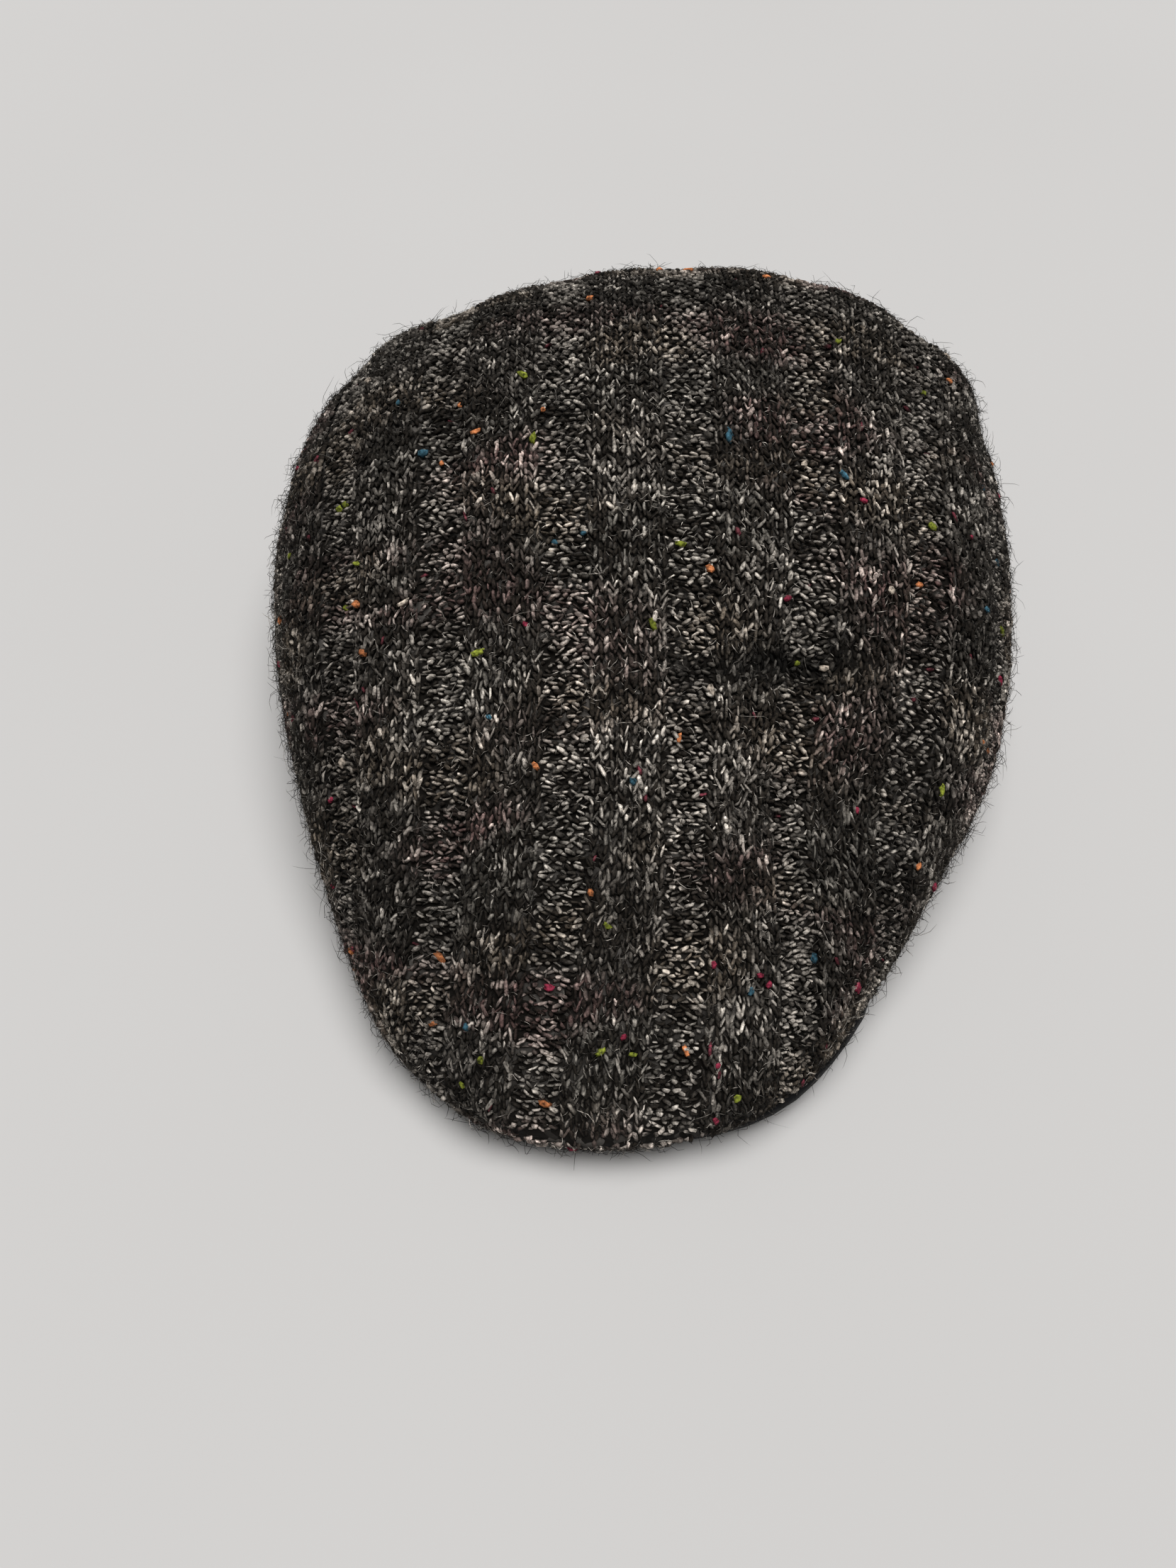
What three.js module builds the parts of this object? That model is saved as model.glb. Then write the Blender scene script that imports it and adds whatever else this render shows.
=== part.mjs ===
import * as THREE from "three";

// A ribbed knit flat cap in millimetres. The peak points to -Y, the back to +Y, and +Z is up.
// It rests on the flat underside of its hem at Z = 0.

// Plan of the crown on the inside of the knit
const FRONT_Y = -135;
const WIDEST_Y = 32;
const BACK_Y = 135;
const HALF_WIDTH = 107;
const FRONT_LENGTH_POWER = 1.46;
const FRONT_WIDTH_POWER = 2.15;
const BACK_POWER = 2.42;

// Heights on the inside of the knit
const TOP_Z = 95;
const BULGE_Z = 26;
const FRONT_EDGE_Z = 12.3;
const FRONT_SLOPE_POWER = 1.5;
const ARCH_POWER = 2.18;

// Knit wall and its ribs: the wall is the thickness in a purl band, and the knit bands rise above it
const WALL = 3;
const RIB_RISE = 2.2;
const RIB_PERIOD_FRONT = 28;
const RIB_PERIOD_BACK = 35;
const KNIT_BAND_X = -4.5;
const RIB_LEAN = -0.053;
const EDGE_RIB_SHARE = 0.3;
const BACK_RIB_SHARE = 0.25;
const RIM_RIB_SHARE = 0.25;

// Hem: how far the crown turns under to the head opening, and the flat that it rests on
const OVERHANG_SIDE = 28;
const OVERHANG_BACK = 24;
const OVERHANG_FRONT = 0;
const HEM_FLAT = 10;
const EDGE_Z_AT_PEAK = 9.3;

// Peak
const PEAK_THICKNESS = 2.5;
const PEAK_GAP_FRONT = 0.8;
const PEAK_GAP_CORNER = 0.4;
const PEAK_CORNER_ANGLE = 1.08;
const PEAK_BACK_Y = -80;
const PEAK_BACK_Z = 14;
const PEAK_CORNER_WIDTH = 4;
const PEAK_NOSE = 0.8;
const PEAK_REACH_LEFT = -0.3;
const PEAK_REACH_RIGHT = 4.8;
const PEAK_TUCK = 0.4;

// Fineness of the meshes
const STATIONS = 60;
const UNDER_RINGS = 5;
const ARCH_STEPS = 80;
const PEAK_STEPS = 40;
const PEAK_ACROSS = 6;

// One rib period as columns of the knit. at runs from the middle of a purl band, in periods.
const RIB_COLUMNS = [
  { at: 0.13, rise: 0 },
  { at: 0.25, rise: 0.86 },
  { at: 0.5, rise: 1 },
  { at: 0.75, rise: 0.86 },
  { at: 0.87, rise: 0 },
];

// The soft crown lies unevenly: round each place in plan the knit is carried sideways and up or down
const SETTLED = [
  { name: "nose_to_left", x: -12, y: -136, sideways: -9, up: 0, spread: 36 },
  { name: "front_left_full", x: -54, y: -110, sideways: -5.2, up: 0, spread: 32 },
  { name: "back_right_full", x: 55, y: 100, sideways: 3, up: 5, spread: 44 },
  { name: "back_left_sunk", x: -58, y: 104, sideways: 2, up: -3, spread: 40 },
  { name: "back_right_corner", x: 90, y: 96, sideways: 7, up: 0, spread: 26 },
  { name: "back_left_corner", x: -84, y: 106, sideways: -7, up: 0, spread: 22 },
  { name: "right_side_in", x: 107, y: 24, sideways: -1.2, up: 0, spread: 30 },
  { name: "right_front_drawn_in", x: 52, y: -62, sideways: -8, up: 0, spread: 28 },
  { name: "right_edge_drawn_in", x: 60, y: -102, sideways: -2, up: 0, spread: 20 },
  { name: "right_side_full", x: 100, y: -30, sideways: 2.6, up: 0, spread: 36 },
];

// Creases and shallow dents of the soft crown, each along a line in plan
const FOLDS = [
  { name: "right_crease", x1: 22, y1: -38, x2: 96, y2: -20, depth: 3.2, width: 7.5 },
  { name: "left_dent", x1: -98, y1: 10, x2: -66, y2: -8, depth: 2.2, width: 12 },
  { name: "front_dip", x1: -44, y1: -104, x2: -30, y2: -62, depth: 1.8, width: 14 },
];

function mix(a, b, share) {
  return a + (b - a) * share;
}

function ease(from, to, value) {
  const share = Math.min(1, Math.max(0, (value - from) / (to - from)));
  return share * share * (3 - 2 * share);
}

// The widest line of the crown. angle is 0 at the front, half of pi at the widest place and pi at the back.
function bulgeAt(angle) {
  const side = Math.sin(angle);
  const along = Math.abs(Math.cos(angle));
  if (angle <= Math.PI / 2) {
    return {
      x: HALF_WIDTH * side ** (2 / FRONT_WIDTH_POWER),
      y: WIDEST_Y - (WIDEST_Y - FRONT_Y) * along ** (2 / FRONT_LENGTH_POWER),
    };
  }
  return {
    x: HALF_WIDTH * Math.max(side, 0) ** (2 / BACK_POWER),
    y: WIDEST_Y + (BACK_Y - WIDEST_Y) * along ** (2 / BACK_POWER),
  };
}

// The outward direction of the widest line in plan
function outwardAt(angle) {
  if (angle < 1e-6) {
    return { x: 0, y: -1 };
  }
  if (angle > Math.PI - 1e-6) {
    return { x: 0, y: 1 };
  }
  const before = bulgeAt(Math.max(angle - 0.01, 0));
  const after = bulgeAt(Math.min(angle + 0.01, Math.PI));
  const dx = after.x - before.x;
  const dy = after.y - before.y;
  const size = Math.hypot(dx, dy);
  return { x: dy / size, y: -dx / size };
}

function bulgeHeight(angle) {
  return mix(FRONT_EDGE_Z, BULGE_Z, ease(0.4, 1.3, angle));
}

// The height of the knit's lower edge: on the peak in front, on the flat hem at the sides and back
function edgeHeight(angle) {
  return mix(EDGE_Z_AT_PEAK, WALL, ease(0.55, 1.05, angle));
}

function overhangAt(angle) {
  const side = mix(OVERHANG_FRONT, OVERHANG_SIDE, ease(0.62, 1.4, angle));
  return mix(side, OVERHANG_BACK, ease(2, 2.9, angle));
}

function turnedUnder(angle) {
  return ease(0.62, 1.05, angle);
}

// The crown's middle line, from the front edge up over the top and down the back
function topHeight(angle) {
  if (angle <= Math.PI / 2) {
    const share = (WIDEST_Y - bulgeAt(angle).y) / (WIDEST_Y - FRONT_Y);
    return mix(TOP_Z, FRONT_EDGE_Z, share ** FRONT_SLOPE_POWER);
  }
  return mix(BULGE_Z, TOP_Z, Math.max(Math.sin(angle), 0) ** (2 / BACK_POWER));
}

function ribPeriod(y) {
  return mix(RIB_PERIOD_FRONT, RIB_PERIOD_BACK, (y - FRONT_Y) / (BACK_Y - FRONT_Y));
}

// The middle of a purl band, measured across the knit
function purlStart(y) {
  return KNIT_BAND_X + RIB_LEAN * y + ribPeriod(y) / 2;
}

// How far a place on the knit stands up, from 0 in a purl band to 1 on a knit band
function ribRise(across, y) {
  const turns = (across - purlStart(y)) / ribPeriod(y);
  const place = turns - Math.floor(turns);
  let before = { at: RIB_COLUMNS[RIB_COLUMNS.length - 1].at - 1, rise: 0 };
  for (const column of RIB_COLUMNS) {
    if (place <= column.at) {
      return mix(before.rise, column.rise, (place - before.at) / (column.at - before.at));
    }
    before = column;
  }
  return 0;
}

// How much of the ribs' rise is left: less at the front edge, at the back and towards the widest line
function ribShare(angle, across, reach) {
  const front = mix(EDGE_RIB_SHARE, 1, ease(0.02, 0.3, angle));
  const back = mix(1, BACK_RIB_SHARE, ease(1.8, 2.6, angle));
  const rim = mix(1, RIM_RIB_SHARE, ease(0.7, 1, Math.abs(across) / Math.max(reach, 1)));
  return front * back * rim;
}

// Where a place of the even cap lies once it has settled. Nothing at the hem moves up or down.
function settle(x, y, z) {
  const moved = { x, y, z };
  const free = ease(WALL, BULGE_Z + 16, z);
  for (const place of SETTLED) {
    const near = Math.exp(-((x - place.x) ** 2 + (y - place.y) ** 2) / place.spread ** 2);
    moved.x += place.sideways * near;
    moved.z += place.up * near * free;
  }
  return moved;
}

function foldDepth(x, y) {
  let depth = 0;
  for (const fold of FOLDS) {
    const dx = fold.x2 - fold.x1;
    const dy = fold.y2 - fold.y1;
    const along = ((x - fold.x1) * dx + (y - fold.y1) * dy) / (dx * dx + dy * dy);
    const held = Math.min(1, Math.max(0, along));
    const away = Math.hypot(x - fold.x1 - held * dx, y - fold.y1 - held * dy);
    depth += fold.depth * Math.exp(-((away / fold.width) ** 2));
  }
  return depth;
}

// Half of the arch over the crown at one station, with the length measured along the knit from its middle
function halfArch(angle) {
  const halfWidth = bulgeAt(angle).x;
  const low = bulgeHeight(angle);
  const rise = topHeight(angle) - low;
  const arch = [];
  let length = 0;
  for (let step = 0; step <= ARCH_STEPS; step++) {
    const turn = (Math.PI / 2) * (step / ARCH_STEPS);
    const x = halfWidth * Math.sin(turn) ** (2 / ARCH_POWER);
    const z = low + rise * Math.max(Math.cos(turn), 0) ** (2 / ARCH_POWER);
    if (step > 0) {
      const last = arch[step - 1];
      length += Math.hypot(x - last.x, z - last.z);
    }
    arch.push({ x, z, length });
  }
  return arch;
}

function alongArch(arch, length) {
  let step = 1;
  while (step < arch.length - 1 && arch[step].length < length) {
    step += 1;
  }
  const from = arch[step - 1];
  const to = arch[step];
  const share = (length - from.length) / Math.max(to.length - from.length, 1e-9);
  return { x: mix(from.x, to.x, share), z: mix(from.z, to.z, share) };
}

// The columns of knit that one station crosses, between its two ends
function columnsAcross(reach, y) {
  const period = ribPeriod(y);
  const columns = [];
  const most = Math.ceil(reach / period) + 1;
  for (let turn = -most; turn <= most; turn++) {
    for (const column of RIB_COLUMNS) {
      const across = purlStart(y) + (turn + column.at) * period;
      if (Math.abs(across) < reach - 3) {
        columns.push(across);
      }
    }
  }
  return columns;
}

// The crown as one sheet: stations from front to back, then rings that turn under to the hem
function knitSheet() {
  const points = [];
  const faces = [];
  const rows = [];
  const rightEnds = [];
  const leftEnds = [];

  function addPoint(x, y, z, across, fade) {
    points.push({ x, y, z, across, fade });
    return points.length - 1;
  }

  for (let station = 0; station <= STATIONS; station++) {
    const angle = (Math.PI * station) / STATIONS;
    const y = bulgeAt(angle).y;
    const atTip = station === 0 || station === STATIONS;
    const arch = halfArch(angle);
    const reach = arch[ARCH_STEPS].length;
    const row = [];
    const sides = atTip ? [0] : [-1, ...columnsAcross(reach, y), 1];
    sides.forEach((column, place) => {
      const atEnd = place === 0 || place === sides.length - 1;
      const across = atEnd ? column * reach : column;
      const found = alongArch(arch, Math.abs(across));
      const fade = ribShare(angle, across, reach);
      const index = addPoint(Math.sign(across) * found.x, y, found.z, across, fade);
      row.push({ index, turns: (across - purlStart(y)) / ribPeriod(y) });
    });
    rows.push(row);
    rightEnds.push(row[row.length - 1].index);
    leftEnds.push(row[0].index);
  }

  // Neighbouring stations are joined column to column, and the last column of the wider one to the edge
  for (let station = 0; station < STATIONS; station++) {
    const near = rows[station];
    const far = rows[station + 1];
    let i = 0;
    let j = 0;
    while (i < near.length - 1 || j < far.length - 1) {
      const nearNext = i < near.length - 1 ? near[i + 1].turns : Infinity;
      const farNext = j < far.length - 1 ? far[j + 1].turns : Infinity;
      if (nearNext <= farNext) {
        faces.push([near[i].index, near[i + 1].index, far[j].index]);
        i += 1;
      } else {
        faces.push([near[i].index, far[j + 1].index, far[j].index]);
        j += 1;
      }
    }
  }

  // The widest line as one loop: up the right side from the front to the back, and down the left
  const loopAngles = [];
  const widest = [];
  for (let station = 0; station <= STATIONS; station++) {
    loopAngles.push({ angle: (Math.PI * station) / STATIONS, side: 1 });
    widest.push(rightEnds[station]);
  }
  for (let station = STATIONS - 1; station > 0; station--) {
    loopAngles.push({ angle: (Math.PI * station) / STATIONS, side: -1 });
    widest.push(leftEnds[station]);
  }

  let above = widest;
  for (let ring = 1; ring <= UNDER_RINGS + 1; ring++) {
    const onFlat = ring > UNDER_RINGS;
    const turn = (Math.PI / 2) * Math.min(1, ring / UNDER_RINGS);
    const even = ring / (UNDER_RINGS + 1);
    const loop = loopAngles.map(({ angle, side }, place) => {
      const bulge = bulgeAt(angle);
      const outward = outwardAt(angle);
      const under = turnedUnder(angle);
      const overhang = overhangAt(angle);
      const curved = overhang - HEM_FLAT * under;
      const inset = mix(overhang * even, onFlat ? overhang : curved * (1 - Math.cos(turn)), under);
      const drop = mix(even, Math.sin(turn), under);
      const high = bulgeHeight(angle);
      const z = mix(high, edgeHeight(angle), drop);
      const start = points[widest[place]];
      const across = start.across + side * outward.x * (inset + high - z) * 0.8;
      const fade = start.fade * (1 - ease(0.5, 1, even));
      return addPoint(side * (bulge.x - outward.x * inset), bulge.y - outward.y * inset, z, across, fade);
    });
    loop.forEach((low, place) => {
      const next = (place + 1) % loop.length;
      faces.push([above[place], low, loop[next]]);
      faces.push([above[place], loop[next], above[next]]);
    });
    above = loop;
  }
  return { points, faces, hem: above };
}

function meshFrom(name, positions, triangles, material) {
  const geometry = new THREE.BufferGeometry();
  geometry.setAttribute("position", new THREE.Float32BufferAttribute(positions.flat(), 3));
  geometry.setIndex(triangles.flat());
  geometry.computeVertexNormals();
  const mesh = new THREE.Mesh(geometry, material);
  mesh.name = name;
  return mesh;
}

// The knit wall: the sheet is its inside, and its outside lies one wall and the ribs farther out
function makeCrown() {
  const sheet = knitSheet();
  sheet.points.forEach((point) => {
    const depth = foldDepth(point.x, point.y) * ease(BULGE_Z, BULGE_Z + 14, point.z);
    const settled = settle(point.x, point.y, point.z - depth);
    point.x = settled.x;
    point.z = settled.z;
  });
  const inside = sheet.points.map((point) => [point.x, point.y, point.z]);
  const plain = meshFrom("sheet", inside, sheet.faces, new THREE.MeshStandardMaterial());
  const normals = plain.geometry.getAttribute("normal");
  const outside = sheet.points.map((point, index) => {
    const thickness = WALL + RIB_RISE * point.fade * ribRise(point.across, point.y);
    const x = point.x + normals.getX(index) * thickness;
    const y = point.y + normals.getY(index) * thickness;
    const z = point.z + normals.getZ(index) * thickness;
    return [x, y, point.z <= WALL + 1e-6 ? 0 : Math.max(z, 0)];
  });
  const shift = outside.length;
  const triangles = [];
  for (const [a, b, c] of sheet.faces) {
    triangles.push([a, b, c]);
    triangles.push([c + shift, b + shift, a + shift]);
  }
  sheet.hem.forEach((here, place) => {
    const next = sheet.hem[(place + 1) % sheet.hem.length];
    triangles.push([here, here + shift, next + shift]);
    triangles.push([here, next + shift, next]);
  });
  const wool = new THREE.MeshStandardMaterial({ color: 0x38363a, roughness: 0.95 });
  return meshFrom("crown", [...outside, ...inside], triangles, wool);
}

// The outer edge of the peak: it shows past the knit on the right and is tucked under it elsewhere
function peakEdge(turn) {
  const angle = Math.abs(turn);
  const side = turn < 0 ? -1 : 1;
  const bulge = bulgeAt(angle);
  const outward = outwardAt(angle);
  const inset = overhangAt(angle);
  const shown = mix(PEAK_REACH_LEFT, PEAK_REACH_RIGHT, ease(-0.1, 0.4, turn));
  const reach = mix(shown, -PEAK_TUCK, ease(0.56, 0.76, angle)) - inset;
  return {
    x: side * (bulge.x + outward.x * reach),
    y: bulge.y + outward.y * reach,
    z: edgeHeight(angle) - mix(PEAK_GAP_FRONT, PEAK_GAP_CORNER, ease(0.65, 1.05, angle)),
    out: { x: side * outward.x, y: outward.y },
  };
}

// The stiff peak: an arched crescent between the crown's front edge and the head opening
function makePeak() {
  const positions = [];
  const triangles = [];
  const corner = peakEdge(PEAK_CORNER_ANGLE);
  const innerX = corner.x - PEAK_CORNER_WIDTH;
  const innerZ = corner.z;
  const ring = 2 * (PEAK_ACROSS + 1) + 1;
  for (let step = 0; step <= PEAK_STEPS; step++) {
    const share = (2 * step) / PEAK_STEPS - 1;
    const edge = peakEdge(share * PEAK_CORNER_ANGLE);
    const around = (Math.PI / 2) * share;
    const lift = Math.max(Math.cos(around), 0);
    const inner = {
      x: innerX * Math.sin(around),
      y: mix(corner.y, PEAK_BACK_Y, lift),
      z: mix(innerZ, PEAK_BACK_Z, lift),
    };
    const outer = { x: edge.x - edge.out.x * PEAK_NOSE, y: edge.y - edge.out.y * PEAK_NOSE, z: edge.z };
    for (let across = 0; across <= PEAK_ACROSS; across++) {
      const part = across / PEAK_ACROSS;
      positions.push([mix(inner.x, outer.x, part), mix(inner.y, outer.y, part), mix(inner.z, outer.z, part)]);
    }
    positions.push([edge.x, edge.y, edge.z - PEAK_THICKNESS / 2]);
    for (let across = PEAK_ACROSS; across >= 0; across--) {
      const part = across / PEAK_ACROSS;
      const z = mix(inner.z, outer.z, part) - PEAK_THICKNESS;
      positions.push([mix(inner.x, outer.x, part), mix(inner.y, outer.y, part), z]);
    }
  }
  for (let step = 0; step < PEAK_STEPS; step++) {
    for (let place = 0; place < ring; place++) {
      const next = (place + 1) % ring;
      const a = step * ring + place;
      const b = step * ring + next;
      triangles.push([a, b, b + ring]);
      triangles.push([a, b + ring, a + ring]);
    }
  }
  const last = PEAK_STEPS * ring;
  for (let place = 1; place < ring - 1; place++) {
    triangles.push([0, place + 1, place]);
    triangles.push([last, last + place, last + place + 1]);
  }
  const cloth = new THREE.MeshStandardMaterial({ color: 0x0c0c0d, roughness: 0.6 });
  const settled = positions.map(([x, y, z]) => [settle(x, y, z).x, y, z]);
  return meshFrom("peak", settled, triangles, cloth);
}

const cap = new THREE.Group();
cap.name = "knit_flat_cap";
cap.add(makeCrown());
cap.add(makePeak());

export default cap;
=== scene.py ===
import math

import bmesh
import bpy
import numpy as np
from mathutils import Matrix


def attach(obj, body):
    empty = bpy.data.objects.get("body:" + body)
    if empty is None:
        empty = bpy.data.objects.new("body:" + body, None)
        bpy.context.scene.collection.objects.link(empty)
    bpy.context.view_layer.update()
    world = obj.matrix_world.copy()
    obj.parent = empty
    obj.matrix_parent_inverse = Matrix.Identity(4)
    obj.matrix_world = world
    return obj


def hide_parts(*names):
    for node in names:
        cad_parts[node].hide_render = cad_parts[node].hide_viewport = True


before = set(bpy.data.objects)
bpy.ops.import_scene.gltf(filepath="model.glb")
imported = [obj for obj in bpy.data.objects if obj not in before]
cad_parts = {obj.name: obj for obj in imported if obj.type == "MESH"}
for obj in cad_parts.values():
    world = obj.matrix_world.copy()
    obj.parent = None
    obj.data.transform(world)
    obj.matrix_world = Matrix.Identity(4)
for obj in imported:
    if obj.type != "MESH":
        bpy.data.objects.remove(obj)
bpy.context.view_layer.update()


# The peak is a stiff crescent under the front of the crown, covered in smooth black cloth.
# Its rim shows as a thin dark line past the knit, and its underside closes the front from below.
CLOTH_BLACK = (0.004, 0.004, 0.0045, 1.0)
CLOTH_WORN = (0.012, 0.012, 0.013, 1.0)
CLOTH_ROUGHNESS = 0.5
CLOTH_SHINE = 0.14
WEAR_SCALE = 90.0
THREAD_SCALE = 316.67
THREAD_DEPTH = 0.0001
JOINED_WITHIN = 1e-6


def merged_copy(name, node):
    """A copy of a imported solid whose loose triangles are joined, as a new piece."""
    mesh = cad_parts[node].data.copy()
    mesh.name = name
    mesh.materials.clear()
    shape = bmesh.new()
    shape.from_mesh(mesh)
    bmesh.ops.remove_doubles(shape, verts=shape.verts, dist=JOINED_WITHIN)
    shape.to_mesh(mesh)
    shape.free()
    mesh.shade_smooth()
    piece = bpy.data.objects.new(name, mesh)
    bpy.context.scene.collection.objects.link(piece)
    return piece


def new_material(name):
    """A node material with its nodes, its links and its Principled shader."""
    material = bpy.data.materials.new(name)
    material.use_nodes = True
    nodes = material.node_tree.nodes
    links = material.node_tree.links
    return material, nodes, links, nodes["Principled BSDF"]


def smooth_black_cloth():
    material, nodes, links, cloth = new_material("smooth_black_cloth")
    cloth.inputs["Roughness"].default_value = CLOTH_ROUGHNESS
    cloth.inputs["Specular IOR Level"].default_value = CLOTH_SHINE
    place = nodes.new("ShaderNodeTexCoord")
    wear = nodes.new("ShaderNodeTexNoise")
    wear.inputs["Scale"].default_value = WEAR_SCALE
    wear.inputs["Detail"].default_value = 5.0
    colour = nodes.new("ShaderNodeMix")
    colour.data_type = "RGBA"
    colour.inputs["A"].default_value = CLOTH_BLACK
    colour.inputs["B"].default_value = CLOTH_WORN
    links.new(place.outputs["Object"], wear.inputs["Vector"])
    links.new(wear.outputs["Fac"], colour.inputs["Factor"])
    links.new(colour.outputs["Result"], cloth.inputs["Base Color"])
    warp = nodes.new("ShaderNodeTexWave")
    warp.bands_direction = "X"
    weft = nodes.new("ShaderNodeTexWave")
    weft.bands_direction = "Y"
    weave = nodes.new("ShaderNodeMath")
    weave.operation = "MULTIPLY"
    relief = nodes.new("ShaderNodeBump")
    relief.inputs["Strength"].default_value = 0.35
    relief.inputs["Distance"].default_value = THREAD_DEPTH
    for threads in (warp, weft):
        threads.inputs["Scale"].default_value = THREAD_SCALE
        links.new(place.outputs["Object"], threads.inputs["Vector"])
    links.new(warp.outputs["Fac"], weave.inputs[0])
    links.new(weft.outputs["Fac"], weave.inputs[1])
    links.new(weave.outputs["Value"], relief.inputs["Height"])
    links.new(relief.outputs["Normal"], cloth.inputs["Normal"])
    return material


peak_cloth = merged_copy("peak_cloth", "peak")
peak_cloth.data.materials.append(smooth_black_cloth())
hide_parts("peak")
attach(peak_cloth, "root")


# The ground of the crown is the knitted wall itself, near-black wool in one piece without a seam.
# It shows between the stitches, on the inside of the crown and on the flat of its hem.
GROUND_DARK = (0.0072, 0.0059, 0.0047, 1.0)
GROUND_PALE = (0.09, 0.082, 0.074, 1.0)
GROUND_LOOPS = 420.0
LOOP_DEPTH = 0.0012
GROUND_SUNK = 0.0007
SUNK_FROM_Z = 0.010
SUNK_FULL_Z = 0.026


def ground_wool():
    material, nodes, links, wool = new_material("ground_wool")
    wool.inputs["Roughness"].default_value = 0.95
    wool.inputs["Specular IOR Level"].default_value = 0.1
    wool.inputs["Sheen Weight"].default_value = 0.02
    place = nodes.new("ShaderNodeTexCoord")
    loops = nodes.new("ShaderNodeTexVoronoi")
    loops.inputs["Scale"].default_value = GROUND_LOOPS
    flecks = nodes.new("ShaderNodeMapRange")
    flecks.inputs["From Min"].default_value = 0.62
    flecks.inputs["From Max"].default_value = 0.95
    colour = nodes.new("ShaderNodeMix")
    colour.data_type = "RGBA"
    colour.inputs["A"].default_value = GROUND_DARK
    colour.inputs["B"].default_value = GROUND_PALE
    relief = nodes.new("ShaderNodeBump")
    relief.invert = True
    relief.inputs["Strength"].default_value = 0.8
    relief.inputs["Distance"].default_value = LOOP_DEPTH
    links.new(place.outputs["Object"], loops.inputs["Vector"])
    links.new(loops.outputs["Color"], flecks.inputs["Value"])
    links.new(flecks.outputs["Result"], colour.inputs["Factor"])
    links.new(colour.outputs["Result"], wool.inputs["Base Color"])
    links.new(loops.outputs["Distance"], relief.inputs["Height"])
    links.new(relief.outputs["Normal"], wool.inputs["Normal"])
    return material


def sink(piece):
    """Draws the wall in a little under its stitches, but not at the hem that it rests on."""
    wall = piece.data
    depths = []
    for point in wall.vertices:
        share = (point.co.z - SUNK_FROM_Z) / (SUNK_FULL_Z - SUNK_FROM_Z)
        depths.append(GROUND_SUNK * min(1.0, max(0.0, share)))
    moves = [point.normal * depth for point, depth in zip(wall.vertices, depths)]
    for point, move in zip(wall.vertices, moves):
        point.co -= move
    wall.update()


crown_ground = merged_copy("crown_ground", "crown")
sink(crown_ground)
crown_ground.data.materials.append(ground_wool())
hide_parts("crown")
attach(crown_ground, "root")


# The face of the crown is a wide rib: eight wales of knit stitches, then five of purl, from the front
# edge over the top to the back. Each stitch is two short lengths of marled yarn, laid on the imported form.
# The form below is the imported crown's own, in millimetres.
MM = 0.001
FRONT_Y = -135.0
WIDEST_Y = 32.0
BACK_Y = 135.0
HALF_WIDTH = 107.0
FRONT_LENGTH_POWER = 1.46
FRONT_WIDTH_POWER = 2.15
BACK_POWER = 2.42
TOP_Z = 95.0
BULGE_Z = 26.0
FRONT_EDGE_Z = 12.3
BULGE_ANGLES = (0.4, 1.3)
FRONT_SLOPE_POWER = 1.5
ARCH_POWER = 2.18
WALL = 3.0
RIB_RISE = 2.2
RIB_PERIOD_FRONT = 28.0
RIB_PERIOD_BACK = 35.0
KNIT_BAND_X = -4.5
RIB_LEAN = -0.053
EDGE_RIB_SHARE = 0.3
EDGE_RIB_ANGLES = (0.02, 0.3)
BACK_RIB_SHARE = 0.25
BACK_RIB_ANGLES = (1.8, 2.6)
RIM_RIB_SHARE = 0.25
RIM_RIB_PLACES = (0.7, 1.0)
RIB_PLACES = (0.0, 0.13, 0.25, 0.5, 0.75, 0.87, 1.0)
RIB_RISES = (0.0, 0.0, 0.86, 1.0, 0.86, 0.0, 0.0)

# Where the soft crown lies unevenly: place in plan, how far it is carried sideways and up, and how widely
SETTLED = (
    {"place": "nose", "x": -12, "y": -136, "sideways": -9, "up": 0, "spread": 36},
    {"place": "front_left", "x": -54, "y": -110, "sideways": -5.2, "up": 0, "spread": 32},
    {"place": "back_right", "x": 55, "y": 100, "sideways": 3, "up": 5, "spread": 44},
    {"place": "back_left", "x": -58, "y": 104, "sideways": 2, "up": -3, "spread": 40},
    {"place": "back_right_corner", "x": 90, "y": 96, "sideways": 7, "up": 0, "spread": 26},
    {"place": "back_left_corner", "x": -84, "y": 106, "sideways": -7, "up": 0, "spread": 22},
    {"place": "right_side", "x": 107, "y": 24, "sideways": -1.2, "up": 0, "spread": 30},
    {"place": "right_front", "x": 52, "y": -62, "sideways": -8, "up": 0, "spread": 28},
    {"place": "right_edge", "x": 60, "y": -102, "sideways": -2, "up": 0, "spread": 20},
    {"place": "right_before_side", "x": 100, "y": -30, "sideways": 2.6, "up": 0, "spread": 36},
)
FOLDS = (
    {"place": "right_crease", "from": (22, -38), "to": (96, -20), "depth": 3.2, "width": 7.5},
    {"place": "left_dent", "from": (-98, 10), "to": (-66, -8), "depth": 2.2, "width": 12},
    {"place": "front_dent", "from": (-44, -104), "to": (-30, -62), "depth": 1.8, "width": 14},
)
FOLDS_FULL_Z = BULGE_Z + 14.0
FREE_Z = BULGE_Z + 16.0

# Grid that the stitches are laid on, and the gauge of the knit
STATIONS = 460
FIRST_ANGLE = 0.02
LAST_ANGLE = math.pi - 0.015
ARCH_STEPS = 240
WALES_PER_RIB = 13
PURL_WALES = (0, 1, 2, 11, 12)
COURSE = 2.05
EDGE_MARGIN = 0.8
HEADING_STEP = 1.0

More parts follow.
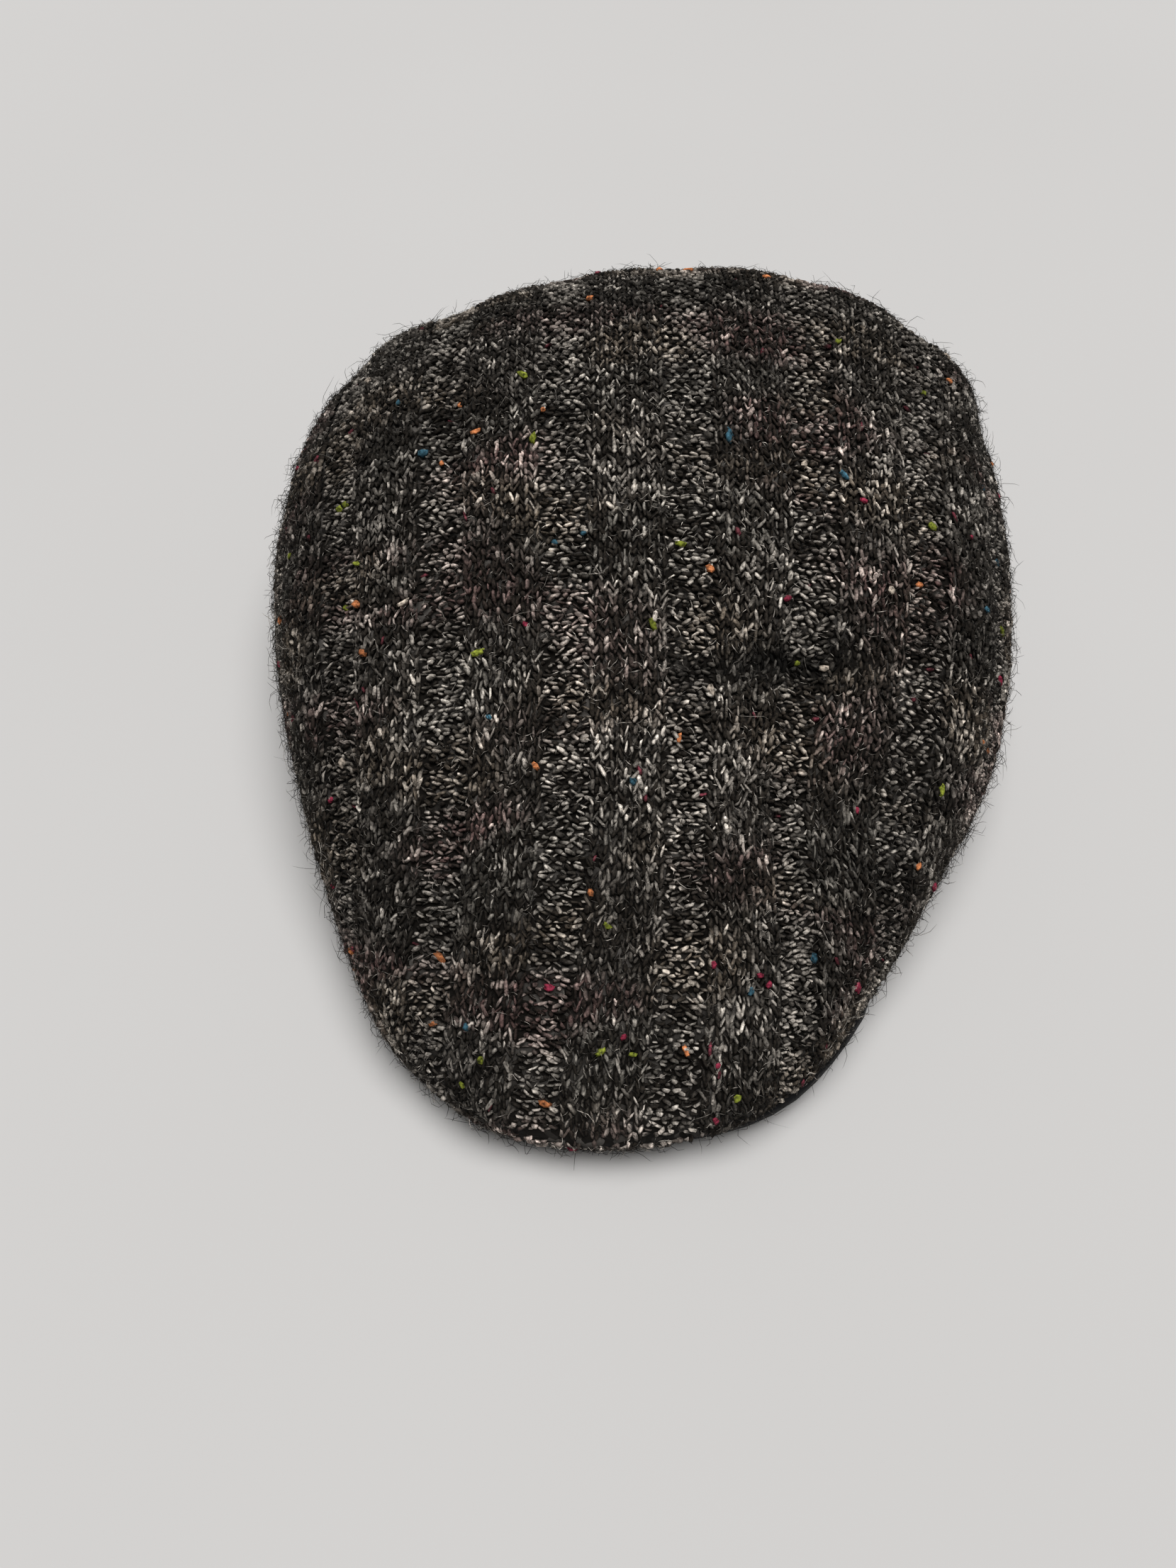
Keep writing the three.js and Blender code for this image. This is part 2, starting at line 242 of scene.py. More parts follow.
# Yarn of one stitch, and how far each length of it is out of line
KNIT_LEG = {"length": 3.9, "width": 1.05, "height": 1.25, "bow": 0.3, "droop": 0.5}
KNIT_SLANT = 0.28
KNIT_DIP = 0.1
KNIT_LEGS_APART = 0.25
KNIT_LOOSE = {"slant": 0.5, "aside": 0.2, "along": 0.9, "lift": 0.35}
PURL_BUMP = {"length": 2.75, "width": 1.0, "height": 1.25, "bow": 0.34, "droop": 0.5}
# The low bump of each purl stitch is painted darker, as shade under the high bump.
PURL_ROWS = ({"hand": 1, "lift": 0.35, "shown": 1.0}, {"hand": -1, "lift": 0.0, "shown": 0.75})
PURL_LOOSE = {"slant": 0.85, "aside": 0.35, "along": 0.3, "lift": 0.25}
YARN_SWELL = (0.55, 1.45)
YARN_STRETCH = (0.55, 1.3)
YARN_LIFT = 0.1
LOWEST_YARN = 0.05
BOW_MIDDLE = 0.4
CELL_MARGIN = 0.1
SEED = 41

rng = np.random.default_rng(SEED)


def mix(a, b, share):
    return a + (b - a) * share


def ease(start, end, value):
    share = np.clip((value - start) / (end - start), 0, 1)
    return share * share * (3 - 2 * share)


def unit(vectors):
    return vectors / np.maximum(np.linalg.norm(vectors, axis=-1, keepdims=True), 1e-9)


def widest_line(angle):
    """The crown's widest line in plan. The angle is 0 at the front and pi at the back."""
    side = np.maximum(np.sin(angle), 0)
    along = np.abs(np.cos(angle))
    front = angle <= math.pi / 2
    x = HALF_WIDTH * np.where(front, side ** (2 / FRONT_WIDTH_POWER), side ** (2 / BACK_POWER))
    ahead = WIDEST_Y - (WIDEST_Y - FRONT_Y) * along ** (2 / FRONT_LENGTH_POWER)
    behind = WIDEST_Y + (BACK_Y - WIDEST_Y) * along ** (2 / BACK_POWER)
    return x, np.where(front, ahead, behind)


def widest_height(angle):
    return mix(FRONT_EDGE_Z, BULGE_Z, ease(*BULGE_ANGLES, angle))


def top_height(angle):
    """The crown's middle line from the front edge over the top and down the back."""
    share = (WIDEST_Y - widest_line(angle)[1]) / (WIDEST_Y - FRONT_Y)
    ahead = mix(TOP_Z, FRONT_EDGE_Z, np.maximum(share, 0) ** FRONT_SLOPE_POWER)
    behind = mix(BULGE_Z, TOP_Z, np.maximum(np.sin(angle), 0) ** (2 / BACK_POWER))
    return np.where(angle <= math.pi / 2, ahead, behind)


def rib_period(y):
    return mix(RIB_PERIOD_FRONT, RIB_PERIOD_BACK, (y - FRONT_Y) / (BACK_Y - FRONT_Y))


def purl_start(y):
    return KNIT_BAND_X + RIB_LEAN * y + rib_period(y) / 2


def rib_rise(turns):
    return np.interp(turns - np.floor(turns), RIB_PLACES, RIB_RISES)


def rib_share(angle, out):
    """How much of the ribs' rise is left. Out is 0 on the middle line and 1 at the widest line."""
    front = mix(EDGE_RIB_SHARE, 1, ease(*EDGE_RIB_ANGLES, angle))
    back = mix(1, BACK_RIB_SHARE, ease(*BACK_RIB_ANGLES, angle))
    return front * back * mix(1, RIM_RIB_SHARE, ease(*RIM_RIB_PLACES, out))


def from_fold(fold, x, y):
    """How far places lie from the line of a fold, in plan."""
    run = np.subtract(fold["to"], fold["from"])
    along = ((x - fold["from"][0]) * run[0] + (y - fold["from"][1]) * run[1]) / (run @ run)
    held = np.clip(along, 0, 1)
    return np.hypot(x - fold["from"][0] - held * run[0], y - fold["from"][1] - held * run[1])


def settle(points):
    """Lays the even crown as it rests, with its folds and its leaning nose."""
    x, y, z = (points[..., axis].copy() for axis in range(3))
    depth = np.zeros_like(x)
    for fold in FOLDS:
        depth += fold["depth"] * np.exp(-((from_fold(fold, x, y) / fold["width"]) ** 2))
    low = z - depth * ease(BULGE_Z, FOLDS_FULL_Z, z)
    free = ease(WALL, FREE_Z, low)
    settled = np.stack([x, y, low], axis=-1)
    for spot in SETTLED:
        near = np.exp(-((x - spot["x"]) ** 2 + (y - spot["y"]) ** 2) / spot["spread"] ** 2)
        settled[..., 0] += spot["sideways"] * near
        settled[..., 2] += spot["up"] * near * free
    return settled


def face_of_knit(inside, thickness, side=1):
    """The outside of the wall over a grid of places on its inside, and the outward directions."""
    outward = side * unit(np.cross(np.gradient(inside, axis=1), np.gradient(inside, axis=0)))
    return inside + outward * thickness[..., None], outward


def lay_crown():
    """The knit's face on a grid: stations from front to back, and wales from left to right."""
    angle = np.linspace(FIRST_ANGLE, LAST_ANGLE, STATIONS)
    half_width, y = widest_line(angle)
    low = widest_height(angle)
    rise = top_height(angle) - low
    quarter = np.linspace(0, math.pi / 2, ARCH_STEPS)
    wide = np.sin(quarter) ** (2 / ARCH_POWER)
    high = np.maximum(np.cos(quarter), 0) ** (2 / ARCH_POWER)
    arch_x = half_width[:, None] * wide
    arch_z = low[:, None] + rise[:, None] * high
    steps = np.hypot(np.diff(arch_x, axis=1), np.diff(arch_z, axis=1))
    length = np.concatenate([np.zeros((STATIONS, 1)), np.cumsum(steps, axis=1)], axis=1)
    reach = length[:, -1]
    most = int(np.max(reach) / RIB_PERIOD_FRONT * WALES_PER_RIB) + 1
    wale = np.arange(-most, most + 1)
    across = purl_start(y)[:, None] + wale / WALES_PER_RIB * rib_period(y)[:, None]
    held = np.clip(across, -reach[:, None], reach[:, None])
    x = np.stack([np.interp(abs(held[i]), length[i], arch_x[i]) for i in range(STATIONS)])
    z = np.stack([np.interp(abs(held[i]), length[i], arch_z[i]) for i in range(STATIONS)])
    even = np.stack([np.sign(held) * x, np.broadcast_to(y[:, None], x.shape), z], axis=-1)
    share = rib_share(angle[:, None], abs(held) / reach[:, None])
    thickness = WALL + RIB_RISE * share * rib_rise(wale / WALES_PER_RIB)
    face, outward = face_of_knit(settle(even), thickness)
    return {
        "face": face,
        "outward": outward,
        "on": abs(across) < reach[:, None],
        "y": y,
        "wale": wale,
        "angle": angle,
        "reach": reach,
    }


crown = lay_crown()


def length_along(line):
    """The length of a line of points, up to each of them."""
    return np.concatenate([[0], np.cumsum(np.linalg.norm(np.diff(line, axis=0), axis=1))])


def read_along(at, run, values):
    """The values of a line of points at given lengths of it."""
    return np.stack([np.interp(at, run, values[:, axis]) for axis in range(3)], axis=-1)


def stitches_along(column):
    """The stitches of one wale, a course apart, counted from the crown's widest station."""
    rows = np.flatnonzero(crown["on"][:, column])
    if len(rows) < 3:
        return None
    line = crown["face"][rows, column]
    run = length_along(line)
    start = np.interp(WIDEST_Y, crown["y"][rows], run)
    first = math.ceil((EDGE_MARGIN - start) / COURSE)
    last = math.floor((run[-1] - EDGE_MARGIN - start) / COURSE)
    course = np.arange(first, last + 1)
    at = start + course * COURSE
    ahead = read_along(at + HEADING_STEP, run, line)
    behind = read_along(at - HEADING_STEP, run, line)
    return {
        "place": read_along(at, run, line),
        "along": unit(ahead - behind),
        "outward": unit(read_along(at, run, crown["outward"][rows, column])),
        "wale": np.full(len(at), crown["wale"][column]),
        "course": course,
    }


def gathered(parts):
    """Joins the arrays of several stretches of knit."""
    return {key: np.concatenate([part[key] for part in parts]) for key in parts[0]}


wales = [stitches_along(column) for column in range(len(crown["wale"]))]
top_knit = gathered([stretch for stretch in wales if stretch is not None and len(stretch["wale"])])
top_knit["aside"] = unit(np.cross(top_knit["along"], top_knit["outward"]))
top_knit["purl"] = np.isin(top_knit["wale"] % WALES_PER_RIB, PURL_WALES)
top_knit["spread"] = rib_period(top_knit["place"][:, 1]) / WALES_PER_RIB
top_knit["odd"] = top_knit["course"] % 2 * 2.0 - 1.0


# Patches are sums of waves that run in random directions over the knit
PATCH_WAVES = 9
PATCH_PULL = (0.7, 1.3, 0.5)
PATCH_SIZES = (0.7, 1.6)


def drifting(places, size, seed):
    """Soft patches over the knit, about -1 to 1."""
    random = np.random.default_rng(seed)
    total = np.zeros(len(places))
    for _ in range(PATCH_WAVES):
        heading = random.uniform(0, math.tau)
        pull = np.array(PATCH_PULL) * (math.cos(heading), math.sin(heading), 1)
        pull *= math.tau / (size * random.uniform(*PATCH_SIZES))
        total += np.cos(places @ pull + random.uniform(0, math.tau))
    return total / math.sqrt(PATCH_WAVES)


# Yarn tones in linear light, and the tints that the patches of yarn lean to
TONE_LEVELS = (0.004, 0.012, 0.042, 0.12, 0.26, 0.43, 0.65)
KNIT_SHARES = (0.0, 0.31, 0.49, 0.68, 0.86, 0.96, 1.0)
PURL_SHARES = (0.0, 0.13, 0.23, 0.33, 0.47, 0.69, 1.0)
DARK_WOOL = np.array([0.0135, 0.0108, 0.0083])
WARM_WOOL = np.array([1.093, 0.995, 0.877])
TONE_PATCHES = (
    {"size": 40.0, "gain": 0.12, "seed": 5},
    {"size": 13.0, "gain": 0.12, "seed": 6},
    {"size": 6.0, "gain": 0.07, "seed": 4},
)
TINTS = (
    {"name": "mauve", "colour": (1.32, 0.86, 0.91), "size": 46.0, "from": -0.1, "seed": 7},
    {"name": "brown", "colour": (1.11, 0.98, 0.84), "size": 38.0, "from": 0.0, "seed": 8},
    {"name": "cold", "colour": (0.97, 1.0, 1.0), "size": 40.0, "from": 0.1, "seed": 9},
)
TINT_LOST = 0.7
TINT_LOST_TONES = (0.08, 0.35)
DYED_SHARE = 0.003
DYED = np.array([0.18, 0.03, 0.05])

# Tone of one length of yarn: pale near its middle and darker towards its ends, a painted shade where it
# dives under its neighbours, shifted at random along it as in a marl, and darker on one side where its dark
# ply shows
PALE_MIDDLE = 1.1
PALE_FALL = 0.8
PALE_LEAST = 0.12
PALE_LEAN = 0.8
PLY_TONE = 0.72
PLY_SWING = 0.34

# Painted shade and light on the strands: darker on slopes, lighter again on the steepest sides, a painted
# shadow in the crease and broad patches
STEEP_SHADE = 0.66
STEEP_SLOPES = (0.04, 0.45)
LEAST_SHADE = 0.60
SIDE_SHADE = 1.15
SIDE_SLOPES = (0.42, 0.75)
# The line and width of the painted shadow in the crease, and how dark it is.
CREASE_SHADOW = {"from": (10, -40), "to": (54, -31), "width": 3.8, "dark": 0.86}
# Broad patches, partly painted light and shade (lighter in the middle, darker towards the sides) and partly
# the yarn's own darker patches.
BROAD_TONE_AND_LIGHT = (
    {"place": "middle", "x": 14, "y": -30, "spread": 64, "gain": 0.22},
    {"place": "back", "x": 5, "y": 116, "spread": 64, "gain": -0.54},
    {"place": "back_left", "x": -66, "y": 92, "spread": 36, "gain": -0.28},
    {"place": "back_right", "x": 96, "y": 70, "spread": 36, "gain": -0.45},
    {"place": "left", "x": -94, "y": 30, "spread": 54, "gain": -0.48},
    {"place": "right", "x": 100, "y": -15, "spread": 42, "gain": -0.25},
    {"place": "front_left", "x": -58, "y": -106, "spread": 38, "gain": -0.50},
    {"place": "front_right", "x": 50, "y": -85, "spread": 30, "gain": -0.20},
)


def painted_shade(places, outward):
    """Painted shade and light for the strands, on slopes, as a shadow in the crease and in broad patches.
    """
    # Slopes are painted darker, as shade where the light from above reaches them less.
    slope = 1 - abs(outward[:, 2:])
    shade = mix(1, STEEP_SHADE, ease(*STEEP_SLOPES, slope))
    # Broad patches of painted light and shade, partly also the yarn's own tone.
    for spot in BROAD_TONE_AND_LIGHT:
        away = np.hypot(places[:, :1] - spot["x"], places[:, 1:2] - spot["y"])
        shade = shade * (1 + spot["gain"] * np.exp(-((away / spot["spread"]) ** 2)))
    # The steepest sides are painted lighter again, as painted light.
    shade = mix(np.maximum(shade, LEAST_SHADE), SIDE_SHADE, ease(*SIDE_SLOPES, slope))
    # A painted shadow darkens the strands along the line of the crease.
    away = from_fold(CREASE_SHADOW, places[:, :1], places[:, 1:2])
    return shade * (1 - CREASE_SHADOW["dark"] * np.exp(-((away / CREASE_SHADOW["width"]) ** 2)))


def yarn_colours(places, purl):
    """One colour for each length of yarn: mostly near black, with grey and pale strands."""
    count = len(places)
    luck = rng.uniform(0, 1, count)
    for patch in TONE_PATCHES:
        luck += drifting(places, patch["size"], patch["seed"]) * patch["gain"]
    luck = np.clip(luck, 0, 1)
    purl_tone = np.interp(luck, PURL_SHARES, TONE_LEVELS)
    knit_tone = np.interp(luck, KNIT_SHARES, TONE_LEVELS)
    tone = np.where(purl, purl_tone, knit_tone)
    tint = np.ones(3)
    for row in TINTS:
        share = ease(row["from"], 1.0, drifting(places, row["size"], row["seed"]))
        tint = mix(tint, np.array(row["colour"]), share[:, None])
    tint = mix(tint, 1, TINT_LOST * ease(*TINT_LOST_TONES, tone)[:, None])
    dyed = rng.uniform(0, 1, (count, 1)) < DYED_SHARE
    return np.where(dyed, DYED, tone[:, None] * tint * WARM_WOOL)


def small_ball(around, rings):
    """A ball with its poles along Z, to be drawn out into yarn, knots and fibres.

    It is given as points, the corners of its faces in a fixed order, and its unwrapped corners.
    """
    shape = bmesh.new()
    shape.loops.layers.uv.new("OFBake")
    bmesh.ops.create_uvsphere(shape, u_segments=around, v_segments=rings, radius=1.0, calc_uvs=True)
    unwrapped = shape.loops.layers.uv.active
    shape.verts.index_update()
    points = np.array([point.co[:] for point in shape.verts])
    ordered = sorted(shape.faces, key=lambda face: [corner.vert.index for corner in face.loops])
    faces = [[corner.vert.index for corner in face.loops] for face in ordered]
    uvs = np.array([corner[unwrapped].uv[:] for face in ordered for corner in face.loops])
    shape.free()
    return points, faces, uvs


def joined_copies(name, points, faces, uvs, colours):
    """One mesh of many like lengths, none below the surface that the cap lies on."""
    copies, each = points.shape[:2]
    points[..., 2] = np.maximum(points[..., 2], LOWEST_YARN)
    corners = np.concatenate(faces)
    mesh = bpy.data.meshes.new(name)
    mesh.vertices.add(copies * each)
    mesh.vertices.foreach_set("co", (points * MM).astype(np.float32).ravel())
    index = (np.arange(copies)[:, None] * each + corners).ravel()
    mesh.loops.add(len(index))
    mesh.loops.foreach_set("vertex_index", index.astype(np.int32))
    starts = np.concatenate([[0], np.cumsum([len(face) for face in faces])[:-1]])
    mesh.polygons.add(copies * len(faces))
    first = (np.arange(copies)[:, None] * len(corners) + starts).ravel()
    mesh.polygons.foreach_set("loop_start", first.astype(np.int32))
    mesh.update(calc_edges=True)
    mesh.shade_smooth()
    grid = math.ceil(math.sqrt(copies))
    cell = np.stack([np.arange(copies) % grid, np.arange(copies) // grid], axis=-1)
    spread = (cell[:, None, :] + CELL_MARGIN + (1 - 2 * CELL_MARGIN) * np.clip(uvs, 0, 1)) / grid
    mesh.uv_layers.new(name="OFBake").uv.foreach_set("vector", spread.astype(np.float32).ravel())
    yarn = mesh.color_attributes.new("yarn", "FLOAT_COLOR", "POINT")
    solid = np.concatenate([colours, np.ones((copies, each, 1))], axis=-1)
    yarn.data.foreach_set("color", solid.astype(np.float32).ravel())
    piece = bpy.data.objects.new(name, mesh)
    bpy.context.scene.collection.objects.link(piece)
    return piece


def marled_wool():
    material, nodes, links, wool = new_material("marled_wool")
    wool.inputs["Roughness"].default_value = 0.8
    wool.inputs["Specular IOR Level"].default_value = 0.08
    wool.inputs["Sheen Weight"].default_value = 0.01
    wool.inputs["Sheen Roughness"].default_value = 0.5
    strand = nodes.new("ShaderNodeAttribute")
    strand.attribute_name = "yarn"
    place = nodes.new("ShaderNodeTexCoord")
    fibres = nodes.new("ShaderNodeTexNoise")
    fibres.inputs["Scale"].default_value = 1150.0
    fibres.inputs["Detail"].default_value = 3.0
    shade = nodes.new("ShaderNodeMapRange")
    shade.inputs["From Min"].default_value = 0.3
    shade.inputs["From Max"].default_value = 0.7
    shade.inputs["To Min"].default_value = 0.15
    shade.inputs["To Max"].default_value = 1.9
    colour = nodes.new("ShaderNodeVectorMath")
    colour.operation = "SCALE"
    relief = nodes.new("ShaderNodeBump")
    relief.inputs["Strength"].default_value = 0.6
    relief.inputs["Distance"].default_value = 0.0003
    links.new(place.outputs["Object"], fibres.inputs["Vector"])
    links.new(fibres.outputs["Fac"], shade.inputs["Value"])
    links.new(strand.outputs["Color"], colour.inputs[0])
    links.new(shade.outputs["Result"], colour.inputs["Scale"])
    links.new(colour.outputs["Vector"], wool.inputs["Base Color"])
    links.new(fibres.outputs["Fac"], relief.inputs["Height"])
    links.new(relief.outputs["Normal"], wool.inputs["Normal"])
    return material


marl = marled_wool()


def dress(piece):
    """Gives a piece its wool and says where it belongs."""
    piece.data.materials.append(marl)
    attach(piece, "root")


def lay_yarn(name, knit, size):
    """Lays one length of yarn at each place, along its axis, bowed aside and sunk at its ends."""
    points, faces, uvs = small_ball(4, 3)
    places = knit["place"]
    count = len(places)
    swell = rng.uniform(*YARN_SWELL, (count, 1))
    stretch = rng.uniform(*YARN_STRETCH, (count, 1))
    end = points[:, 2]
    wide = points[:, 0] * swell * size["width"] / 2 + knit["bow"][:, None] * (end ** 2 - BOW_MIDDLE)
    high = points[:, 1] * swell * size["height"] / 2 - size["droop"] * end ** 2
    far = end * stretch * size["length"] / 2
    laid = (
        places[:, None, :]
        + knit["axis"][:, None, :] * far[..., None]
        + knit["aside"][:, None, :] * wide[..., None]
        + knit["outward"][:, None, :] * high[..., None]
    )
    # The low purl bumps get their painted shade here.
    colours = yarn_colours(places, knit["purl"]) * knit["shown"][:, None]
    # Painted shade and light from the slopes, the crease and broad patches.
    shade = painted_shade(places, knit["outward"])
    lean = rng.uniform(-PALE_LEAN, PALE_LEAN, (count, 1))
    # Painted shade: each length darker towards its ends, where it dives under its neighbours, with a random
    # lean as marl.
    shown = np.clip(PALE_MIDDLE - PALE_FALL * (end - lean) ** 2, PALE_LEAST, PALE_MIDDLE)
    ply = rng.uniform(0, math.tau, (count, 1))
    around = np.arctan2(points[:, 1], points[:, 0])
    turned = PLY_TONE + PLY_SWING * np.cos(around - ply)
    strand = (colours[:, None, :] * (shown * turned)[..., None] + DARK_WOOL) * shade[:, None]
    dress(joined_copies(name, laid, faces, uvs, strand))


def scattered(count, most):
    """Random amounts, mostly small, up to a given size either way."""
    return rng.normal(0, most / 2, (count, 1)).clip(-most, most)


def knit_legs(knit):
    """The two slanting legs of each knit stitch, as places and directions."""
    count = len(knit["place"])
    legs = []
    for hand in (-1, 1):
        slant = hand * KNIT_SLANT + scattered(count, KNIT_LOOSE["slant"])
        level = knit["along"] * np.cos(slant) + knit["aside"] * np.sin(slant)
        axis = unit(level - knit["outward"] * KNIT_DIP)
        beside = unit(np.cross(axis, knit["outward"]))
        apart = hand * KNIT_LEGS_APART * knit["spread"][:, None]
        place = (
            knit["place"]
            + knit["aside"] * (apart + scattered(count, KNIT_LOOSE["aside"]))
            + knit["along"] * scattered(count, KNIT_LOOSE["along"])
            + knit["outward"] * (YARN_LIFT + scattered(count, KNIT_LOOSE["lift"]))
        )
        bow = rng.normal(0, KNIT_LEG["bow"], count)
        leg = {"place": place, "axis": axis, "aside": beside, "outward": knit["outward"], "bow": bow}
        legs.append(dict(leg, purl=np.zeros(count, bool), shown=np.ones(count)))
    return gathered(legs)


def purl_bumps(knit):
    """The two bumps of each purl stitch: a high one, and a low one half a stitch away that bows back."""
    count = len(knit["place"])
    bumps = []
    for row in PURL_ROWS:
        slant = scattered(count, PURL_LOOSE["slant"])
        axis = unit(knit["aside"] * np.cos(slant) + knit["along"] * np.sin(slant))
        beside = unit(np.cross(knit["outward"], axis))
        apart = (row["hand"] + knit["odd"][:, None]) * knit["spread"][:, None] / 4
        place = (
            knit["place"]
            + knit["aside"] * (apart + scattered(count, PURL_LOOSE["aside"]))
            + knit["along"] * (row["hand"] * COURSE / 4 + scattered(count, PURL_LOOSE["along"]))
            + knit["outward"] * (YARN_LIFT + row["lift"] + scattered(count, PURL_LOOSE["lift"]))
        )
        bow = np.full(count, row["hand"] * PURL_BUMP["bow"])
        bump = {"place": place, "axis": axis, "aside": beside, "outward": knit["outward"], "bow": bow}
        bumps.append(dict(bump, purl=np.ones(count, bool), shown=np.full(count, row["shown"])))
    return gathered(bumps)


def some(knit, chosen):
    """The chosen stitches of a stretch of knit."""
    return {key: values[chosen] for key, values in knit.items()}


on_left = top_knit["place"][:, 0] < 0
for side_name, on_side in (("left", on_left), ("right", ~on_left)):
    legs = knit_legs(some(top_knit, on_side & ~top_knit["purl"]))
    lay_yarn(f"knit_ribs_{side_name}", legs, KNIT_LEG)
    bumps = purl_bumps(some(top_knit, on_side & top_knit["purl"]))
    lay_yarn(f"purl_ribs_{side_name}", bumps, PURL_BUMP)


# Below its widest line the crown turns under to the hem. The same ribs run on round this edge:
# along it at the sides, and over it and down at the back and the front. In front on the left the knit
# hangs over the edge of the peak.
OVERHANG_SIDE = 28.0
OVERHANG_BACK = 24.0
HEM_FLAT = 10.0
EDGE_Z_AT_PEAK = 9.3
EDGE_WALE = 2.3
EDGE_COURSE = 2.1
EDGE_SAMPLES = 1500
EDGE_STEPS = 50
EDGE_END_ANGLE = 1e-3
EDGE_LOWEST = 1.3
EDGE_FIRST_COURSE = (0.1, 0.6)
EDGE_ODD_EVERY = 7
PURL_HALF = 0.19
SHOWN_SHARE = 5 / 6
RIBS_LOST_SHARES = (0.5, 1.0)
RIB_STRETCH = 0.8
HANG_Z = 3.6
HANG_CURL = 3.6

# Angles round the edge between which each of these comes in, from 0 at the front to pi at the back
HANG_ENDS = (0.02, 0.18)
LOW_ANGLES = (0.55, 1.05)
UNDER_ANGLES = (0.62, 1.05)
OVERHANG_ANGLES = (0.62, 1.4)
BACK_ANGLES = (2.0, 2.9)


def lay_turned_edge(side):
    """The knit's face below the widest line on one side, front to back and downwards."""
    angle = np.linspace(EDGE_END_ANGLE, math.pi - EDGE_END_ANGLE, EDGE_SAMPLES)
    x, y = widest_line(angle)
    tangent = unit(np.stack([np.gradient(x), np.gradient(y)], axis=-1))
    out_x, out_y = tangent[:, 1], -tangent[:, 0]
    under = ease(*UNDER_ANGLES, angle)
    overhang = mix(OVERHANG_SIDE * ease(*OVERHANG_ANGLES, angle), OVERHANG_BACK, ease(*BACK_ANGLES, angle))
    high = widest_height(angle)
    hang = 1 - ease(*HANG_ENDS, angle) if side > 0 else np.ones(EDGE_SAMPLES)
    low = mix(mix(EDGE_Z_AT_PEAK, HANG_Z, hang), WALL, ease(*LOW_ANGLES, angle))
    share = np.linspace(0, SHOWN_SHARE, EDGE_STEPS)
    turn = share / SHOWN_SHARE * math.pi / 2
    hanging = overhang[:, None] * share + HANG_CURL * hang[:, None] * share ** 2
    curved = (overhang - HEM_FLAT * under)[:, None] * (1 - np.cos(turn))
    inset = mix(hanging, curved, under[:, None])
    edge_x = side * (x[:, None] - out_x[:, None] * inset)
    edge_y = y[:, None] - out_y[:, None] * inset
    edge_z = mix(high[:, None], low[:, None], mix(share, np.sin(turn), under[:, None]))
    reach = np.interp(angle, crown["angle"], crown["reach"])
    across = side * (reach[:, None] + out_x[:, None] * (inset + high[:, None] - edge_z) * RIB_STRETCH)
    turns = (across - purl_start(edge_y)) / rib_period(edge_y)
    fade = rib_share(angle, 1.0)[:, None] * (1 - ease(*RIBS_LOST_SHARES, share))
    inside = settle(np.stack([edge_x, edge_y, edge_z], axis=-1))
    face, outward = face_of_knit(inside, WALL + RIB_RISE * fade * rib_rise(turns), side)
    return {"face": face, "outward": outward, "turns": turns, "out_y": out_y, "tangent_y": tangent[:, 1]}


def stitches_down(edge, column):
    """The stitches of one line from the widest line down to the hem."""
    line = edge["face"][column]
    run = length_along(line)
    at = np.arange(EDGE_COURSE * rng.uniform(*EDGE_FIRST_COURSE), run[-1], EDGE_COURSE)
    pick = np.clip(np.searchsorted(run, at), 1, len(run) - 2)
    place = line[pick]
    down = unit(line[pick + 1] - line[pick - 1])
    beside = unit(edge["face"][column + 1, pick] - edge["face"][column - 1, pick])
    along = unit(edge["tangent_y"][column] * beside + edge["out_y"][column] * down)
    share = edge["turns"][column, pick] % 1.0
    return {
        "place": place,
        "along": along,
        "outward": edge["outward"][column, pick],
        "purl": (share < PURL_HALF) | (share > 1 - PURL_HALF),
        "spread": np.full(len(at), EDGE_WALE),
        "odd": np.full(len(at), (column // EDGE_ODD_EVERY) % 2 * 2.0 - 1.0),
    }


edge_lines = []
for side in (1, -1):
    edge = lay_turned_edge(side)
    around = length_along(edge["face"][:, 0])
    columns = np.searchsorted(around, np.arange(1, around[-1] - 1, EDGE_WALE)).clip(1, EDGE_SAMPLES - 2)
    edge_lines += [stitches_down(edge, column) for column in columns]
edge_knit = gathered(edge_lines)
edge_knit["aside"] = unit(np.cross(edge_knit["along"], edge_knit["outward"]))
edge_knit = some(edge_knit, edge_knit["place"][:, 2] > EDGE_LOWEST)
lay_yarn("turned_edge_knit", knit_legs(some(edge_knit, ~edge_knit["purl"])), KNIT_LEG)
lay_yarn("turned_edge_purl", purl_bumps(some(edge_knit, edge_knit["purl"])), PURL_BUMP)


# Neps are small felted knots of dyed wool, spun into the yarn with it.
# They sit in the face of the knit at random, each drawn out a little one way.
NEP_COUNT = 150
NEP_SIZES = (0.75, 1.25)
NEP_DRAWN = (0.9, 1.8)
NEP_WIDTH = 0.85
NEP_HEIGHT = 0.7
NEP_LUMPS = 0.16
NEP_LIFT = (0.15, 0.65)
NEP_TONES = (0.6, 1.1)
NEP_MOTTLE = (0.6, 1.2)
NEP_DYES = (
    {"name": "orange", "colour": (0.50, 0.18, 0.07), "share": 0.35},
    {"name": "blue", "colour": (0.045, 0.12, 0.165), "share": 0.12},
    {"name": "lime", "colour": (0.20, 0.23, 0.03), "share": 0.19},
    {"name": "red", "colour": (0.27, 0.03, 0.06), "share": 0.26},
    {"name": "cream", "colour": (0.52, 0.44, 0.36), "share": 0.08},
)
face_keys = ("place", "along", "aside", "outward", "purl")
whole_knit = gathered([{key: knit[key] for key in face_keys} for knit in (top_knit, edge_knit)])


